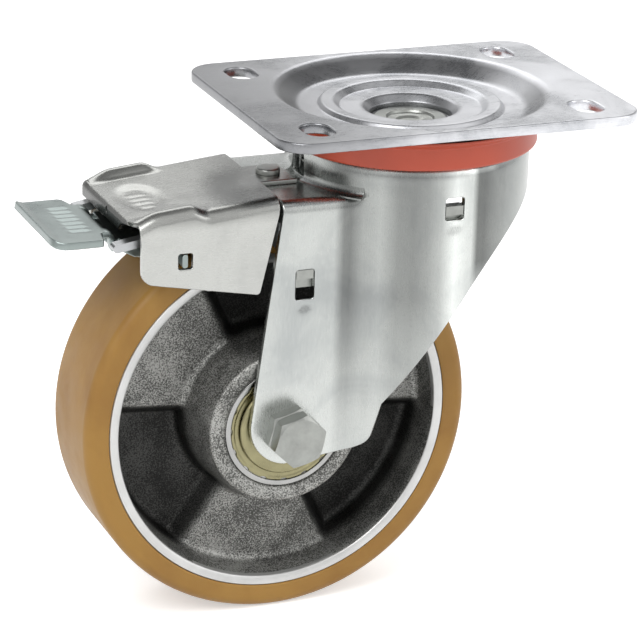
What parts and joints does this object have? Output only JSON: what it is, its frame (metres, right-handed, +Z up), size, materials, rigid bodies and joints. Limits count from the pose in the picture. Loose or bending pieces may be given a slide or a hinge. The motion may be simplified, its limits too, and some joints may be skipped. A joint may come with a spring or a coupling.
{
  "type": "swivel castor with total-lock brake",
  "caption": "Swivel castor with a slotted top plate, pressed steel fork, tyred cast wheel on ball bearings and a foot pedal that brakes the wheel and locks the swivel.",
  "frame": {"origin": "middle of the mounting plate's top face, on the swivel axis", "axes": "+Z up out of the plate's top face along the swivel axis, X along the plate's long side with the wheel trailing towards -X, Y along the wheel's axle"},
  "size_m": [0.215, 0.11, 0.192],
  "materials": {
    "zinc_sheet": "bright zinc plate on pressed steel sheet",
    "zinc_hardware": "bright zinc plate",
    "plain_steel": "plain spring and sheet steel",
    "bearing_steel": "ground",
    "yellow_zinc": "yellow zinc plate",
    "red_plastic": "satin",
    "cast_aluminium": "rough cast, with turned rim faces",
    "polyurethane": "satin cast polyurethane"
  },
  "bodies": {
    "plate": {"mounting_plate": "zinc_sheet", "king_pin": "zinc_hardware", "seal_ring": "red_plastic", "lower_cup": "plain_steel", "upper_balls": "bearing_steel", "lower_balls": "bearing_steel"},
    "fork": {"fork": "zinc_sheet", "brake_bracket": "plain_steel", "lever_pins": "zinc_hardware", "brake_cover": "zinc_sheet", "cover_rivet": "zinc_hardware", "axle_tube": "zinc_hardware", "axle_bolt": "zinc_hardware", "axle_thin_nut": "zinc_hardware", "axle_nut": "zinc_hardware", "axle_washer": "zinc_hardware", "bearing_spacer": "zinc_hardware", "near_dust_flange": "yellow_zinc", "far_dust_flange": "yellow_zinc", "near_inner_ring": "bearing_steel", "far_inner_ring": "bearing_steel"},
    "wheel": {"near_outer_ring": "bearing_steel", "far_outer_ring": "bearing_steel", "near_bearing_balls": "bearing_steel", "far_bearing_balls": "bearing_steel", "near_shield": "yellow_zinc", "far_shield": "yellow_zinc", "wheel_centre": "cast_aluminium", "tyre": "polyurethane"},
    "pedal": {"brake_pedal": "zinc_sheet"},
    "lever": {"brake_lever": "plain_steel"}
  },
  "joints": [
    {"name": "swivel", "type": "hinge", "parent": "plate", "child": "fork", "pos_m": [0, 0, 0], "axis": [0, 0, 1], "continuous": true},
    {"name": "wheel_spin", "type": "hinge", "parent": "fork", "child": "wheel", "pos_m": [-0.057, 0, -0.117], "axis": [0, 1, 0], "continuous": true},
    {"name": "brake_pedal", "type": "hinge", "parent": "fork", "child": "pedal", "pos_m": [-0.0985, 0, -0.047], "axis": [0, -1, 0], "range_deg": [0, 24]},
    {"name": "brake_lever", "type": "hinge", "parent": "fork", "child": "lever", "pos_m": [-0.058, 0, -0.044], "axis": [0, -1, 0], "range_deg": [0, 4]}
  ],
  "couplings": [
    {"joint": "brake_lever", "follows": "brake_pedal", "ratio": 0.16667}
  ]
}
